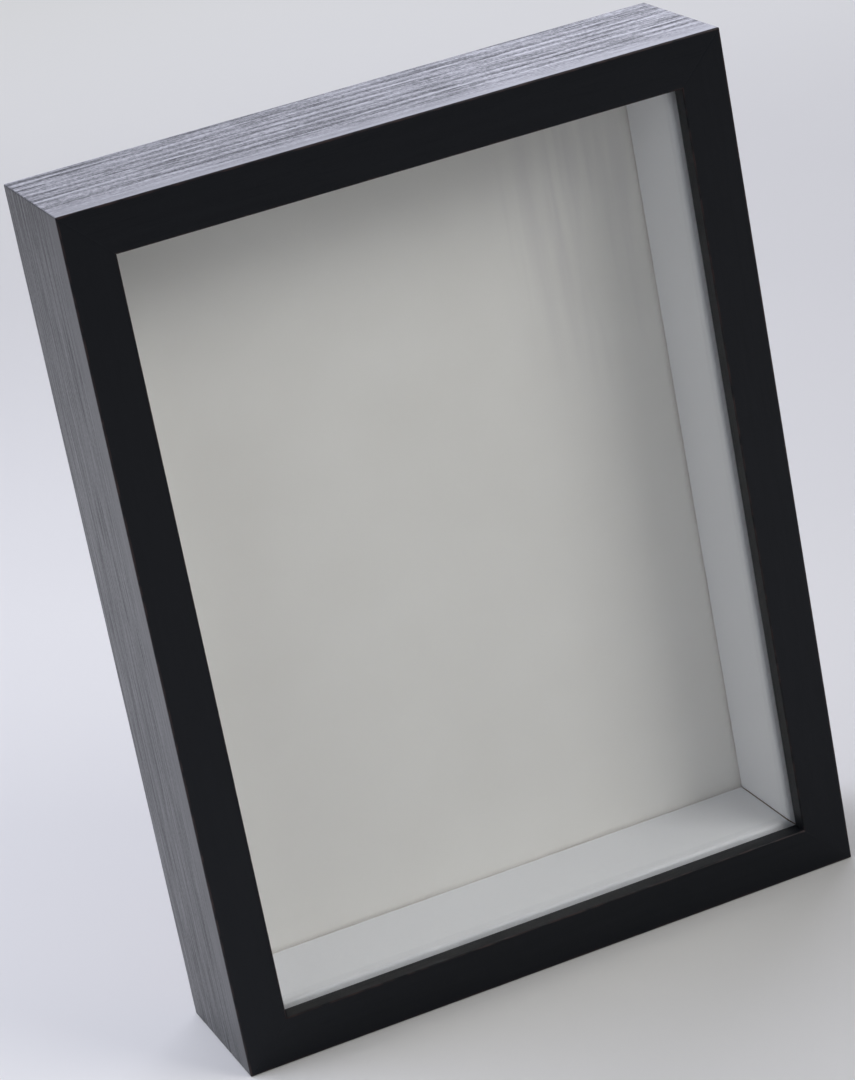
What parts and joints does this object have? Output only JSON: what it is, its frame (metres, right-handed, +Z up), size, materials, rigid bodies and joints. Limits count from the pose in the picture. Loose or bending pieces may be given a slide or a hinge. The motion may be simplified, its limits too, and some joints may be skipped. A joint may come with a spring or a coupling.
{
  "type": "shadow box frame",
  "caption": "Deep free-standing shadow box frame: black mitred case, glass, white spacer walls, display card and a lift-out back with two D-ring hangers.",
  "frame": {"origin": "centre of the underside, where the box stands, midway between front and rear", "axes": "+Z up, +Y towards the wall side (the glass front faces -Y), +X to the right seen from the front"},
  "size_m": [0.163, 0.041, 0.215],
  "materials": {
    "black_foil": "black wood-grain foil, satin, over a wood fibre moulding",
    "white_foil": "white foil, satin, over a wood fibre strip",
    "float_glass": "clear float glass, ground edges",
    "display_card": "off-white uncoated paper face",
    "hardboard": "brown hardboard, smooth pressed face",
    "spring_steel": "dull blued spring steel",
    "nail_steel": "bare rolled steel",
    "zinc_plate": "bright zinc plated steel",
    "nickel_plate": "nickel plated steel"
  },
  "bodies": {
    "frame": {"top_rail": "black_foil", "bottom_rail": "black_foil", "left_stile": "black_foil", "right_stile": "black_foil", "corner_v_nails": "nail_steel", "glass_pane": "float_glass", "spacer_top": "white_foil", "spacer_bottom": "white_foil", "spacer_left": "white_foil", "spacer_right": "white_foil", "retaining_tabs_top": "spring_steel", "retaining_tabs_bottom": "spring_steel", "retaining_tabs_left": "spring_steel", "retaining_tabs_right": "spring_steel"},
    "back_panel": {"display_card": "display_card", "back_board": "hardboard", "upright_hanger_strap": "zinc_plate", "upright_hanger_rivet": "nickel_plate", "sideways_hanger_strap": "zinc_plate", "sideways_hanger_rivet": "nickel_plate"},
    "upright_ring": {"upright_d_ring": "nickel_plate"},
    "sideways_ring": {"sideways_d_ring": "nickel_plate"}
  },
  "joints": [
    {"name": "back_panel_lift_out", "type": "slide", "parent": "frame", "child": "back_panel", "axis": [0, 1, 0], "range_m": [0, 0.06], "deforming": ["retaining_tabs_top", "retaining_tabs_bottom", "retaining_tabs_left", "retaining_tabs_right"]},
    {"name": "upright_ring_swing", "type": "hinge", "parent": "back_panel", "child": "upright_ring", "pos_m": [0, 0.01798, 0.19], "axis": [1, 0, 0], "range_deg": [0, 180]},
    {"name": "sideways_ring_swing", "type": "hinge", "parent": "back_panel", "child": "sideways_ring", "pos_m": [0.0565, 0.01798, 0.1075], "axis": [0, 0, -1], "range_deg": [0, 180]}
  ]
}
